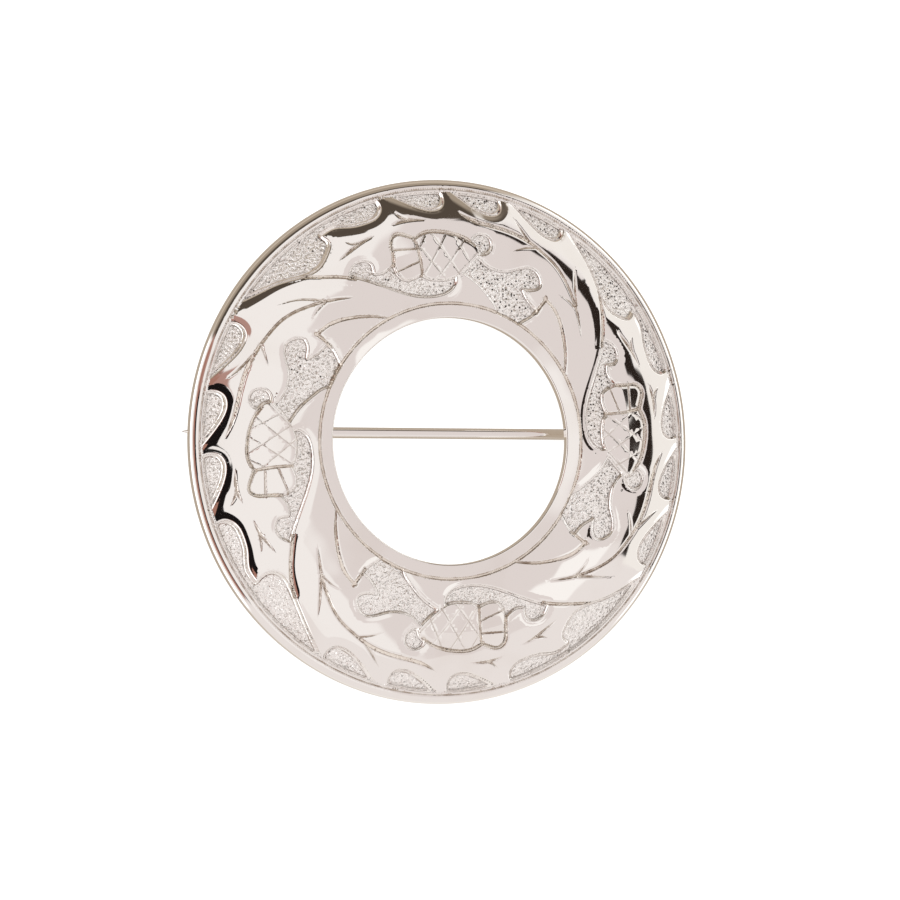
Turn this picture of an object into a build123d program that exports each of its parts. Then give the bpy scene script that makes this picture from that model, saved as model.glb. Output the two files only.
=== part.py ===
from build123d import *
import math
import os

# Thistle brooch: a domed silver ring, cast and chased, with a swinging pin behind it.
# Millimetres, +Z up. The brooch lies on its back, face up, and the floor is Z = 0.
# The ring's axis is X = Y = 0, the pin runs along X and its point is at -X.

# Ring
ring_diameter = 75.0
hole_diameter = 35.1
wall = 1.6
crown_inset = 4.45          # where the dome is highest, measured from the hole's edge
dome_rise = 4.5             # crown of the dome above the widest point of the rim
dome_fall = 3.74            # from the crown down to the rim's bead
rim_bead_radius = 0.8
rim_width = 1.26            # plain rim outside the ornament
rim_skirt = 1.0             # height of the rim below its widest point
collar_width = 2.05         # plain band round the hole, up to the middle of its line
edge_break = 0.25           # small bevel on the bare edges
recess_depth = 0.5
line_depth = 0.25
line_width = 0.45
fine_line_width = 0.3

# Pin and its hinge
pin_diameter = 1.55
pin_axis_height = 1.5
pin_offset = 1.2            # the pin lies a little above the middle of the hole
pin_below_rim = 0.65        # pin axis under the rim's lower edge
tip_past_rim = 0.5
tip_diameter = 0.14
point_length = 1.6
taper_length = 10.4         # of the slow taper behind the point
taper_diameter = 0.8        # where the taper meets the point
hinge_inset = 7.5           # hinge's axis inside the rim
neck_length = 3.5           # from the hinge's axis to the even part of the pin
neck_swell = 0.03           # how much thicker the pin gets toward its eye
knuckle_diameter = 2.7
knuckle_width = 1.6
rivet_diameter = 0.8
rivet_head_diameter = 1.7
rivet_head_height = 0.35
ear_thickness = 1.0
rivet_clearance = 0.05      # in the pin's eye
rivet_fit = 0.02            # in the ears
side_clearance = 0.1
head_clearance = 0.03

# Catch
catch_inset = 4.0           # middle of the catch inside the rim
catch_length = 2.2
catch_wall = 0.9
catch_clearance = 0.2
catch_round = 0.5
solder_depth = 0.4          # how far the soldered fittings run into the ring's wall

ring_radius = ring_diameter / 2
hole_radius = hole_diameter / 2
rim_bottom = pin_axis_height + pin_below_rim
rim_middle = rim_bottom + rim_skirt
crown_height = rim_middle + dome_rise
crown_radius = hole_radius + crown_inset
collar_line_radius = hole_radius + collar_width
rim_edge_radius = ring_radius - rim_width
band = rim_edge_radius - collar_line_radius
dome_sweep = ((rim_edge_radius - crown_radius) ** 2 + dome_fall ** 2) / (2 * dome_fall)
sweep_centre = crown_height - dome_sweep    # the dome's section is an arc round this height
tip_reach = ring_radius + tip_past_rim
taper_end = tip_reach - point_length
taper_start = taper_end - taper_length
catch_reach = ring_radius - catch_inset
hinge_reach = ring_radius - hinge_inset
over = 5.0                 # how far cutting solids run past what they cut
trim_margin = 0.05

# The ornament is drawn once and repeated on the quarters. Turn is in degrees, clockwise from
# the middle of the thistle. Reach is a share of the band, 0 at the collar's line and 1 at the
# rim. A row whose third value is 1 is a corner, and the others lie on a smooth curve.
quarters = 4
first_thistle = 180.0

# The four repeats were cut by hand and stray a little from one another.
HAND = [
    # degrees of turn that the thistle strays, and that the rim's scallops stray
    (0.8, -1.8),
    (-1.0, 1.0),
    (-0.2, 0.4),
    (-0.3, 1.0),
]
stray_from, stray_to = 0.62, 0.80   # reach where the first stray ends and the second holds
beyond_rim = 1.35           # reach where a hollow that runs up to the rim is closed outside it

THISTLE_HEAD = [
    # turn, reach, corner
    (-9.4, 0.580, 1),
    (-6.5, 0.615, 0),
    (-2.5, 0.620, 0),
    (2.0, 0.600, 0),
    (6.5, 0.555, 0),
    (9.6, 0.500, 0),
    (10.4, 0.455, 1),
    (8.2, 0.365, 0),
    (3.8, 0.250, 1),
    (0.5, 0.215, 0),
    (-4.0, 0.210, 0),
    (-7.5, 0.232, 0),
    (-9.6, 0.270, 1),
]

THISTLE_TUFT = [
    # turn, reach, corner
    (-9.4, 0.580, 1),
    (-12.0, 0.625, 0),
    (-14.4, 0.645, 0),
    (-16.0, 0.610, 0),
    (-16.9, 0.520, 0),
    (-17.7, 0.425, 0),
    (-17.6, 0.340, 0),
    (-16.6, 0.275, 0),
    (-13.8, 0.250, 0),
    (-9.6, 0.270, 1),
]

HOLLOW_BEHIND_THISTLE = [
    # turn, reach, corner
    (-4.0, 0.400, 1),
    (2.6, 0.250, 1),
    (3.1, 0.190, 0),
    (1.2, 0.110, 0),
    (-3.0, 0.065, 0),
    (-8.0, 0.060, 0),
    (-13.0, 0.085, 0),
    (-18.0, 0.145, 0),
    (-23.0, 0.240, 0),
    (-28.0, 0.365, 0),
    (-32.3, 0.485, 1),
    (-29.5, 0.545, 0),
    (-26.3, 0.545, 0),
    (-24.2, 0.495, 0),
    (-24.6, 0.400, 1),
    (-22.0, 0.380, 0),
    (-19.8, 0.395, 0),
    (-16.5, 0.440, 1),
]

FORKED_HOLLOW = [
    # turn, reach, corner
    (5.0, 0.263, 1),
    (7.0, 0.400, 1),
    (10.3, 0.420, 1),
    (13.0, 0.375, 0),
    (17.0, 0.358, 0),
    (21.0, 0.388, 0),
    (24.5, 0.460, 0),
    (27.8, 0.498, 0),
    (31.0, 0.460, 0),
    (32.6, 0.388, 0),
    (30.8, 0.315, 0),
    (27.6, 0.280, 1),
    (31.0, 0.225, 0),
    (35.8, 0.203, 1),
    (35.2, 0.115, 0),
    (33.0, 0.015, 0),
    (32.2, -0.040, 1),
    (21.8, -0.040, 1),
    (20.6, 0.020, 0),
    (16.5, 0.095, 0),
    (12.0, 0.170, 0),
    (8.0, 0.225, 0),
]

LONG_RIM_HOLLOW = [
    # turn, reach, corner
    (-60.3, 1.030, 1),
    (-55.0, 0.910, 0),
    (-50.0, 0.825, 0),
    (-45.0, 0.740, 0),
    (-41.0, 0.690, 0),
    (-37.5, 0.685, 0),
    (-34.5, 0.735, 0),
    (-33.0, 0.810, 0),
    (-33.6, 0.885, 1),
    (-30.0, 0.885, 0),
    (-26.5, 0.835, 0),
    (-22.5, 0.810, 0),
    (-19.0, 0.830, 0),
    (-17.2, 0.900, 0),
    (-18.2, 1.030, 1),
]

# One scallop along the rim, its turns counted from its own middle.
SCALLOP = [
    # turn, reach, corner
    (-6.4, 1.030, 1),
    (-4.4, 0.945, 0),
    (-1.9, 0.870, 0),
    (1.0, 0.825, 0),
    (3.7, 0.822, 0),
    (6.1, 0.860, 0),
    (6.8, 0.925, 0),
    (5.6, 1.030, 1),
]

SCALLOP_PLACES = [
    # turn of its middle, stretch along the rim
    (-8.6, 1.00),
    (6.0, 1.00),
    (21.7, 1.13),
]

ROUND_HOLLOW_TURN = 10.7
ROUND_HOLLOW_REACH = 0.540
ROUND_HOLLOW_SHARE = 0.097  # its radius, as a share of the band

# Engraved lines. Width is a share of the line width, and 0 ends the line in a point.
LEAF_LINES = [
    # rows of turn, reach, width
    [(1.5, 0.806, 0.0), (5.0, 0.750, 0.9), (10.0, 0.720, 1.2), (16.0, 0.715, 1.2),
     (22.0, 0.700, 1.1), (28.0, 0.665, 0.9), (34.0, 0.620, 0.9), (40.0, 0.535, 0.9),
     (45.0, 0.455, 0.9), (50.0, 0.370, 0.6), (54.5, 0.297, 0.0)],
    [(15.8, 0.865, 0.0), (18.5, 0.790, 0.5), (22.8, 0.703, 0.8)],
    [(25.8, 0.678, 0.7), (22.5, 0.610, 0.5), (19.8, 0.545, 0.0)],
    [(36.8, 0.745, 0.0), (40.5, 0.620, 0.6), (45.0, 0.468, 0.8)],
    [(46.5, 0.438, 0.7), (42.0, 0.442, 0.5), (37.9, 0.420, 0.0)],
    [(-14.6, 0.835, 0.0), (-13.2, 0.780, 0.7), (-11.3, 0.746, 0.8)],
    [(-16.0, 0.725, 0.0), (-12.0, 0.745, 0.9), (-6.2, 0.725, 0.0)],
    [(-29.2, 0.750, 0.0), (-27.3, 0.705, 0.6), (-25.0, 0.682, 0.7)],
    [(-32.8, 0.635, 0.0), (-28.0, 0.660, 0.8), (-24.0, 0.683, 0.7), (-20.4, 0.688, 0.0)],
    [(-43.5, 0.725, 0.9), (-39.0, 0.625, 1.0), (-35.5, 0.545, 1.0), (-30.8, 0.440, 1.0)],
    [(35.6, 0.160, 1.0), (35.9, 0.330, 1.0)],
    [(35.5, 0.318, 1.0), (40.0, 0.297, 1.1), (45.0, 0.242, 1.1), (50.0, 0.170, 1.0),
     (55.0, 0.097, 0.9), (60.8, 0.008, 0.6)],
]

THISTLE_LINES = [
    # rows of turn, reach, width
    [(-18.0, 0.400, 1.0), (-16.9, 0.520, 1.0), (-16.0, 0.610, 1.0), (-14.4, 0.645, 1.0),
     (-12.0, 0.625, 1.0), (-9.2, 0.575, 1.0)],
    [(-9.7, 0.573, 1.0), (-6.5, 0.615, 1.0), (-2.5, 0.620, 1.0), (2.0, 0.600, 1.0),
     (6.5, 0.555, 1.0), (8.4, 0.520, 0.9)],
    [(-9.4, 0.590, 0.9), (-9.1, 0.420, 0.9), (-9.7, 0.250, 0.9)],
    [(-17.2, 0.532, 0.7), (-9.2, 0.490, 0.7)],
    [(-18.4, 0.338, 0.6), (-9.2, 0.384, 0.7)],
]

# The lattice on the thistle's head: straight lines of two slants that cross on its middle.
lattice_reach = 0.41
lattice_step = 6.3          # degrees of turn between neighbours of one slant
lattice_run = 9.0           # half the length of a line, before the head's outline trims it
LATTICE = [
    # turn of the first line, number of lines, slant in degrees from the line of turn
    (-12.8, 4, -57.0),
    (-10.7, 4, 54.0),
]


def surface_height(radius, depth=0.0):
    """Height of the dome, or of a floor sunk under it, at a distance from the ring's axis."""
    sweep = dome_sweep - depth
    return sweep_centre + math.sqrt(sweep ** 2 - (radius - crown_radius) ** 2)


def place(turn, reach, quarter):
    """A point of the ornament's drawing, on one of the quarters."""
    blend = min(max((reach - stray_from) / (stray_to - stray_from), 0), 1)
    stray = HAND[quarter][0] * (1 - blend) + HAND[quarter][1] * blend
    radius = collar_line_radius + reach * band
    angle = math.radians(first_thistle - quarter * 360 / quarters - turn - stray)
    return Vector(radius * math.cos(angle), radius * math.sin(angle))


def outline(rows, quarter):
    """A closed flat shape through the rows: curves between corners."""
    first = next(i for i, row in enumerate(rows) if row[2])
    turned = rows[first:] + rows[:first] + [rows[first]]
    edges = []
    run = [place(*turned[0][:2], quarter)]
    for turn, reach, corner in turned[1:]:
        run.append(place(turn, reach, quarter))
        if corner:
            edges.append(Line(*run) if len(run) == 2 else Spline(*run))
            run = run[-1:]
    return Face(Wire(edges))


def rim_outline(rows, quarter):
    """As outline, but closed outside the rim, for a hollow that runs up to the rim."""
    start, end = rows[0][0], rows[-1][0]
    closing = [(turn, beyond_rim, 1) for turn in (end, (start + end) / 2, start)]
    return outline(rows + closing, quarter)


def ribbon(rows, width, quarter):
    """A flat strip along the rows, as wide at each as its share of the width."""
    points = [place(turn, reach, quarter) for turn, reach, _ in rows]
    left, right = [], []
    for i, (point, row) in enumerate(zip(points, rows)):
        before, after = points[max(i - 1, 0)], points[min(i + 1, len(points) - 1)]
        side = (after - before).normalized().rotate(Axis.Z, 90) * (row[2] * width / 2)
        left.append(point + side)
        right.append(point - side)
    curve = Line if len(points) == 2 else Spline
    edges = [curve(*left), curve(*right)]
    for i in (0, -1):
        if rows[i][2] > 0:
            edges.append(Line(left[i], right[i]))
    return Face(Wire(edges))


def on_dome(radius, depth=0.0):
    """A point of the dome's section, or of a floor sunk under it."""
    return (radius, 0, surface_height(radius, depth))


def dome_arc(start, end, depth=0.0):
    """The dome's section between two distances from the ring's axis."""
    return ThreePointArc(on_dome(start, depth), on_dome((start + end) / 2, depth), on_dome(end, depth))


def under_dome(depth):
    """Everything under the dome, or under a floor sunk that deep into it."""
    inner, outer = hole_radius - over / 2, ring_radius + over / 2
    profile = Wire([
        Line((inner, 0, -over), (outer, 0, -over)),
        Line((outer, 0, -over), on_dome(outer, depth)),
        dome_arc(outer, inner, depth),
        Line(on_dome(inner, depth), (inner, 0, -over)),
    ])
    return revolve(Face(profile), Axis.Z, 360)


def make_ring_blank():
    """The plain ring: dome, rim and collar line, hollow at the back."""

    def at(radius, height):
        return (radius, 0, height)

    hole_edge = hole_radius + edge_break
    hole_top = at(hole_radius, surface_height(hole_edge) - edge_break)
    hole_back = at(hole_radius, surface_height(hole_edge, wall) + edge_break)
    collar_in = collar_line_radius - line_width / 2
    collar_out = collar_line_radius + line_width / 2
    rim_line_in = rim_edge_radius - fine_line_width
    rim_line_middle = rim_edge_radius - fine_line_width / 2
    bead_centre = ring_radius - rim_bead_radius
    bead_rise = math.sqrt(rim_bead_radius ** 2 - (bead_centre - rim_edge_radius) ** 2)
    bead_in = at(rim_edge_radius, rim_middle + bead_rise)
    back_sweep = dome_sweep - wall
    back_foot = crown_radius + math.sqrt(back_sweep ** 2 - (rim_bottom - sweep_centre) ** 2)
    profile = Wire([
        Line(hole_back, hole_top),
        Line(hole_top, on_dome(hole_edge)),
        dome_arc(hole_edge, collar_in),
        Line(on_dome(collar_in), on_dome(collar_line_radius, line_depth)),
        Line(on_dome(collar_line_radius, line_depth), on_dome(collar_out)),
        dome_arc(collar_out, rim_line_in),
        Line(on_dome(rim_line_in), on_dome(rim_line_middle, line_depth)),
        Line(on_dome(rim_line_middle, line_depth), bead_in),
        ThreePointArc(bead_in, at(bead_centre, rim_middle + rim_bead_radius), at(ring_radius, rim_middle)),
        Line(at(ring_radius, rim_middle), at(ring_radius, rim_bottom + edge_break)),
        Line(at(ring_radius, rim_bottom + edge_break), at(ring_radius - edge_break, rim_bottom)),
        Line(at(ring_radius - edge_break, rim_bottom), on_dome(back_foot, wall)),
        dome_arc(back_foot, hole_edge, wall),
        Line(on_dome(hole_edge, wall), hole_back),
    ])
    return revolve(Face(profile), Axis.Z, 360)


def make_hollows(quarter):
    """Flat shapes of the sunk, punched grounds on one quarter."""
    thistle = outline(THISTLE_HEAD, quarter) + outline(THISTLE_TUFT, quarter)
    rim_disc = Circle(rim_edge_radius + trim_margin)
    collar_disc = Circle(collar_line_radius - line_width / 2 - trim_margin)
    shapes = [rim_outline(LONG_RIM_HOLLOW, quarter) & rim_disc]
    for turn, stretch in SCALLOP_PLACES:
        rows = [(turn + stretch * row[0], row[1], row[2]) for row in SCALLOP]
        shapes.append(rim_outline(rows, quarter) & rim_disc)
    centre = place(ROUND_HOLLOW_TURN, ROUND_HOLLOW_REACH, quarter)
    shapes.append(Pos(centre) * Circle(ROUND_HOLLOW_SHARE * band) - thistle)
    shapes.append(outline(HOLLOW_BEHIND_THISTLE, quarter) - thistle)
    shapes.append(outline(FORKED_HOLLOW, quarter) - thistle - collar_disc)
    return shapes


def make_lines(quarter):
    """Flat shapes of the engraved lines on one quarter."""
    shapes = [ribbon(rows, line_width, quarter) for rows in LEAF_LINES + THISTLE_LINES]
    head = outline(THISTLE_HEAD, quarter)
    for first_turn, number, slant in LATTICE:
        for i in range(number):
            turn = first_turn + i * lattice_step
            bar = Rectangle(2 * lattice_run, fine_line_width)
            heading = first_thistle - quarter * 360 / quarters - turn - 90 + slant
            shapes.append(Pos(place(turn, lattice_reach, quarter)) * Rot(0, 0, heading) * bar & head)
    return shapes


def sink(shapes, depth):
    """The solids that take the flat shapes out of the dome, down to an even depth."""
    floor = under_dome(depth)
    merged = Sketch() + [Sketch() + shape for shape in shapes]
    return [extrude(face, crown_height + over, dir=(0, 0, 1)) - floor for face in merged.faces()]


def pin_radius(reach):
    """Half the pin's thickness at a distance from the ring's axis, toward the point."""
    share = min(max((reach - taper_start) / (taper_end - taper_start), 0), 1)
    return (pin_diameter + share * (taper_diameter - pin_diameter)) / 2


def make_fittings():
    """The hinge's two ears and the catch, before they are soldered into the hollow back."""
    lying = Rot(90, 0, 0)
    ears = []
    for side in (-1, 1):
        y = pin_offset + side * (knuckle_width / 2 + side_clearance + ear_thickness / 2)
        centre = Pos(hinge_reach, y, pin_axis_height)
        height = crown_height - pin_axis_height
        foot = centre * lying * Cylinder(pin_axis_height, ear_thickness)
        plate = centre * Pos(0, 0, height / 2) * Box(2 * pin_axis_height, ear_thickness, height)
        bore = centre * lying * Cylinder(rivet_diameter / 2 + rivet_fit, ear_thickness + over)
        ears.append(foot + plate - bore)
    gap = pin_radius(catch_reach - catch_length / 2) + catch_clearance
    centre = Pos(-catch_reach, pin_offset, 0)
    block_size = (catch_length, 2 * (gap + catch_wall), crown_height)
    block = centre * Pos(0, 0, crown_height / 2) * Box(*block_size)
    block = fillet(block.edges().filter_by(Axis.X).group_by(Axis.Z)[0], catch_round)
    seat = centre * Pos(0, 0, pin_axis_height) * Rot(0, 90, 0) * Cylinder(gap, catch_length + over)
    mouth_size = (catch_length + over, 2 * gap, pin_axis_height + over)
    mouth = centre * Pos(0, 0, (pin_axis_height - over) / 2) * Box(*mouth_size)
    return ears + [block - seat - mouth]


def make_ring():
    """The ring with its ornament cut in and its hinge and catch soldered on."""
    hollow_tools, line_tools = [], []
    for quarter in range(quarters):
        hollow_tools += sink(make_hollows(quarter), recess_depth)
        line_tools += sink(make_lines(quarter), line_depth)
    ring = make_ring_blank() + [fitting & under_dome(wall - solder_depth) for fitting in make_fittings()]
    return ring - hollow_tools - line_tools


def make_pin():
    """The pin: round stem, tapered to a point, with the eye that turns on the rivet."""
    radius = pin_diameter / 2
    profile = make_face(Polyline(
        (-tip_reach, 0, 0),
        (-tip_reach, 0, tip_diameter / 2),
        (-taper_end, 0, taper_diameter / 2),
        (-taper_start, 0, radius),
        (hinge_reach - neck_length, 0, radius),
        (hinge_reach, 0, radius + neck_swell / 2),
        (hinge_reach, 0, 0),
        close=True))
    stem = Pos(0, pin_offset, pin_axis_height) * revolve(profile, Axis.X, 360)
    at_hinge = Pos(hinge_reach, pin_offset, pin_axis_height) * Rot(90, 0, 0)
    eye = at_hinge * Cylinder(knuckle_diameter / 2, knuckle_width)
    bore = at_hinge * Cylinder(rivet_diameter / 2 + rivet_clearance, knuckle_width + over)
    return stem + eye - bore


def make_rivet():
    """The rivet through ears and eye, closed with a flat head at each end."""
    half = knuckle_width / 2 + side_clearance + ear_thickness + head_clearance
    at_hinge = Pos(hinge_reach, pin_offset, pin_axis_height) * Rot(90, 0, 0)
    rivet = at_hinge * Cylinder(rivet_diameter / 2, 2 * half)
    for side in (-1, 1):
        head = Pos(0, 0, side * (half + rivet_head_height / 2))
        rivet += at_hinge * head * Cylinder(rivet_head_diameter / 2, rivet_head_height)
    return rivet


os.makedirs("parts", exist_ok=True)
PIECES = {
    "ring": make_ring,
    "pin": make_pin,
    "hinge_rivet": make_rivet,
}
for name, make in PIECES.items():
    export_step(make(), f"parts/{name}.step")
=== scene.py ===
import math

import bmesh
import bpy
import numpy as np
from mathutils import Matrix, Vector
from mathutils.geometry import delaunay_2d_cdt
from mathutils.kdtree import KDTree


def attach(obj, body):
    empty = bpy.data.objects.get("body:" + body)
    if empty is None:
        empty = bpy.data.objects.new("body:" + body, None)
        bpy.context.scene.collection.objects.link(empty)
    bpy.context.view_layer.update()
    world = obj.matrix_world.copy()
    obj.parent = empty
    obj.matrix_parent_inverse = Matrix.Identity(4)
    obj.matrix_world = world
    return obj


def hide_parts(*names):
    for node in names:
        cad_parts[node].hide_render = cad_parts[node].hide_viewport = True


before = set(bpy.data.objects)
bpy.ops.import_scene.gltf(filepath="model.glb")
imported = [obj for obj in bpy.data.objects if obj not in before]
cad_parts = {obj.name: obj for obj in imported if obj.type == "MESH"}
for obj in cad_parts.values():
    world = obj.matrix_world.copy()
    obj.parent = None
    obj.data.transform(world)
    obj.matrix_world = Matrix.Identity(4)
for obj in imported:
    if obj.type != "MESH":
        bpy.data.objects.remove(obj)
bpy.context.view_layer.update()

# The ring. One casting of sterling silver: a domed band, hollow at the back, with a beaded rim.
# Its thistles and leaves are chased by hand four times round, the grounds between them are sunk
# and punched, and the lands are buffed to a mirror. All lengths are in millimetres.
MM = 0.001
RING_RADIUS = 37.5
HOLE_RADIUS = 17.55
WALL = 1.6
CROWN_RADIUS = 22.0
CROWN_HEIGHT = 7.65
DOME_FALL = 3.74            # from the crown down to the bead on the rim
RIM_BOTTOM = 2.15
BEAD_TOP = 4.05
BEAD_SLOPES = [     # share of the bead's width from its inner edge, and degrees that it falls outward
    (0.0, -50), (0.08, 5), (0.11, 16), (0.28, 19), (0.33, 25), (0.47, 33), (0.74, 39.5), (0.92, 54),
    (1.0, 88)]
RIM_EDGE = 36.24
COLLAR_LINE = 19.6
EDGE_BREAK = 0.25
GROUND_DEPTH = 0.6
RIM_GROUND_DEPTH = 0.7
GROUND_WALL = 0.38          # how wide the sloping side of a sunk ground is, seen from above
RIM_GROUND_WALL = 0.55      # and of the deeper grounds along the rim
RIM_COVE = 0.4              # and where these come up to the bead
RIM_STRIP = 0.5             # the narrow ledge between them and the bead
RIM_STRIP_SUNK = 0.15
RIM_STRIP_STEP = 0.1        # the width of the step down to it
RIM_STRIP_SLOPE = math.tan(math.radians(8))
RIM_GROOVE_WIDTH, RIM_GROOVE_DEPTH = 0.2, 0.12
LINE_DEPTH = 0.18
LINE_WIDTH = 0.48
FINE_LINE_WIDTH = 0.24
FINE_LINE_SHARE = 0.6       # how deep a fine line is, as a share of the others
LINE_SIDE = 0.1             # how wide each sloping side of an engraved line is
BAND = RIM_EDGE - COLLAR_LINE
DOME_SWEEP = ((RIM_EDGE - CROWN_RADIUS) ** 2 + DOME_FALL ** 2) / (2 * DOME_FALL)
SWEEP_CENTRE = CROWN_HEIGHT - DOME_SWEEP

# The drawing is repeated on the quarters. Turn is in degrees, clockwise from the middle of the
# thistle, and reach is a share of the band, 0 at the collar's line and 1 at the rim. A third
# value of 1 makes a row a corner, and the others lie on a smooth curve.
QUARTERS = 4
FIRST_THISTLE = 180.0
HAND = [(0.8, -1.8), (-1.0, 1.0), (-0.2, 0.4), (-0.3, 1.0)]     # degrees that each quarter strays by
STRAY_FROM, STRAY_TO = 0.62, 0.80       # at less than the one reach, and at more than the other

THISTLE_HEAD = [
    (-9.4, 0.580, 1), (-6.5, 0.615, 0), (-2.5, 0.620, 0), (2.0, 0.600, 0), (6.5, 0.555, 0),
    (9.6, 0.500, 0), (10.4, 0.455, 1), (8.2, 0.365, 0), (3.8, 0.250, 1), (0.5, 0.215, 0),
    (-4.0, 0.210, 0), (-7.5, 0.232, 0), (-9.6, 0.270, 1),
]
THISTLE_TUFT = [
    (-9.4, 0.580, 1), (-12.0, 0.625, 0), (-14.4, 0.645, 0), (-16.0, 0.610, 0), (-16.9, 0.520, 0),
    (-17.7, 0.425, 0), (-17.6, 0.340, 0), (-16.6, 0.275, 0), (-13.8, 0.250, 0), (-9.6, 0.270, 1),
]
GROUND_BEHIND_THISTLE = [
    (-4.0, 0.400, 1), (2.6, 0.250, 1), (3.1, 0.190, 0), (1.2, 0.110, 0), (-3.0, 0.065, 0),
    (-8.0, 0.060, 0), (-13.0, 0.085, 0), (-18.0, 0.145, 0), (-23.0, 0.240, 0), (-28.0, 0.365, 0),
    (-32.3, 0.485, 1), (-29.5, 0.545, 0), (-26.3, 0.545, 0), (-24.2, 0.495, 0), (-24.6, 0.400, 1),
    (-22.0, 0.380, 0), (-19.8, 0.395, 0), (-16.5, 0.440, 1),
]
FORKED_GROUND = [
    (5.0, 0.263, 1), (7.0, 0.400, 1), (10.3, 0.420, 1), (13.0, 0.375, 0), (17.0, 0.358, 0),
    (21.0, 0.388, 0), (24.5, 0.460, 0), (27.8, 0.498, 0), (31.0, 0.460, 0), (32.6, 0.388, 0),
    (30.8, 0.315, 0), (27.6, 0.280, 1), (31.0, 0.225, 0), (35.8, 0.203, 1), (35.2, 0.115, 0),
    (33.0, 0.015, 0), (32.2, -0.040, 1), (21.8, -0.040, 1), (20.6, 0.020, 0), (16.5, 0.095, 0),
    (12.0, 0.170, 0), (8.0, 0.225, 0),
]
LONG_RIM_GROUND = [
    (-60.3, 1.030, 1), (-55.0, 0.910, 0), (-50.0, 0.825, 0), (-45.0, 0.740, 0), (-41.0, 0.690, 0),
    (-37.5, 0.685, 0), (-34.5, 0.735, 0), (-33.0, 0.810, 0), (-33.6, 0.885, 1), (-30.0, 0.885, 0),
    (-26.5, 0.835, 0), (-22.5, 0.810, 0), (-19.0, 0.830, 0), (-17.2, 0.900, 0), (-18.2, 1.030, 1),
]
SCALLOP = [
    (-7.2, 1.030, 1), (-4.8, 0.955, 0), (-2.0, 0.882, 0), (1.0, 0.825, 0), (3.9, 0.803, 0),
    (6.4, 0.835, 0), (7.2, 0.910, 0), (6.0, 1.030, 1),
]
SCALLOP_PLACES = [(-8.6, 1.00), (6.0, 1.00), (21.7, 1.13)]      # turn, and stretch along it
BEYOND_RIM = 1.35                       # reach at which the rim's grounds are closed, past the bead
ROUND_GROUND = (10.7, 0.540, 0.097)     # turn, reach, and radius as a share of the band

# Rows of turn, reach, and share of the line's width. A share of 0 ends the line in a point.
LEAF_LINES = [
    [(1.5, 0.806, 0.0), (5.0, 0.750, 0.9), (10.0, 0.720, 1.2), (16.0, 0.715, 1.2),
     (22.0, 0.700, 1.1), (28.0, 0.665, 0.9), (34.0, 0.620, 0.9), (40.0, 0.535, 0.9),
     (45.0, 0.455, 0.9), (50.0, 0.370, 0.6), (54.5, 0.297, 0.0)],
    [(15.8, 0.865, 0.0), (18.5, 0.790, 0.5), (22.8, 0.703, 0.8)],
    [(25.8, 0.678, 0.7), (22.5, 0.610, 0.5), (19.8, 0.545, 0.0)],
    [(36.8, 0.745, 0.0), (40.5, 0.620, 0.6), (45.0, 0.468, 0.8)],
    [(46.5, 0.438, 0.7), (42.0, 0.442, 0.5), (37.9, 0.420, 0.0)],
    [(-14.6, 0.835, 0.0), (-13.2, 0.780, 0.7), (-11.3, 0.746, 0.8)],
    [(-16.0, 0.725, 0.0), (-12.0, 0.745, 0.9), (-6.2, 0.725, 0.0)],
    [(-29.2, 0.750, 0.0), (-27.3, 0.705, 0.6), (-25.0, 0.682, 0.7)],
    [(-32.8, 0.635, 0.0), (-28.0, 0.660, 0.8), (-24.0, 0.683, 0.7), (-20.4, 0.688, 0.0)],
    [(-43.5, 0.725, 0.9), (-39.0, 0.625, 1.0), (-35.5, 0.545, 1.0), (-30.8, 0.440, 1.0)],
    [(35.6, 0.160, 1.0), (35.9, 0.330, 1.0)],
    [(35.5, 0.318, 1.0), (40.0, 0.297, 1.1), (45.0, 0.242, 1.1), (50.0, 0.170, 1.0),
     (55.0, 0.097, 0.9), (60.8, 0.008, 0.6)],
]
STEM_LINE = LEAF_LINES[9]
THISTLE_LINES = [
    [(-18.0, 0.400, 1.0), (-16.9, 0.520, 1.0), (-16.0, 0.610, 1.0), (-14.4, 0.645, 1.0),
     (-12.0, 0.625, 1.0), (-9.2, 0.575, 1.0)],
    [(-9.7, 0.573, 1.0), (-6.5, 0.615, 1.0), (-2.5, 0.620, 1.0), (2.0, 0.600, 1.0),
     (6.5, 0.555, 1.0), (8.4, 0.520, 0.9)],
    [(-9.4, 0.590, 0.9), (-9.1, 0.420, 0.9), (-9.7, 0.250, 0.9)],
    [(-17.2, 0.532, 0.7), (-9.2, 0.490, 0.7)],
    [(-18.4, 0.338, 0.6), (-9.2, 0.384, 0.7)],
]
LATTICE_REACH = 0.41        # the lattice's lines cross the thistle's head at this reach
LATTICE_STEP = 6.3          # degrees of turn from one to the next
LATTICE_RUN = 9.0           # how far each is drawn to both sides, before the head's outline cuts it
LATTICE_LEAST = 5           # samples that a line has at least, or it is left out
LATTICE = [(-12.8, 4, -57.0), (-10.7, 4, 54.0)]     # first turn, number, slant from the line of turn


def dome(radius, depth=0.0):
    """Height of the dome, or of a ground sunk under it, at a distance from the ring's axis."""
    return SWEEP_CENTRE + np.sqrt((DOME_SWEEP - depth) ** 2 - (radius - CROWN_RADIUS) ** 2)


def spot(turn, reach, quarter):
    """A point of the drawing on one of the quarters."""
    blend = min(max((reach - STRAY_FROM) / (STRAY_TO - STRAY_FROM), 0), 1)
    stray = HAND[quarter][0] * (1 - blend) + HAND[quarter][1] * blend
    angle = math.radians(FIRST_THISTLE - quarter * 360 / QUARTERS - turn - stray)
    radius = COLLAR_LINE + reach * BAND
    return np.array([radius * math.cos(angle), radius * math.sin(angle)])


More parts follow.
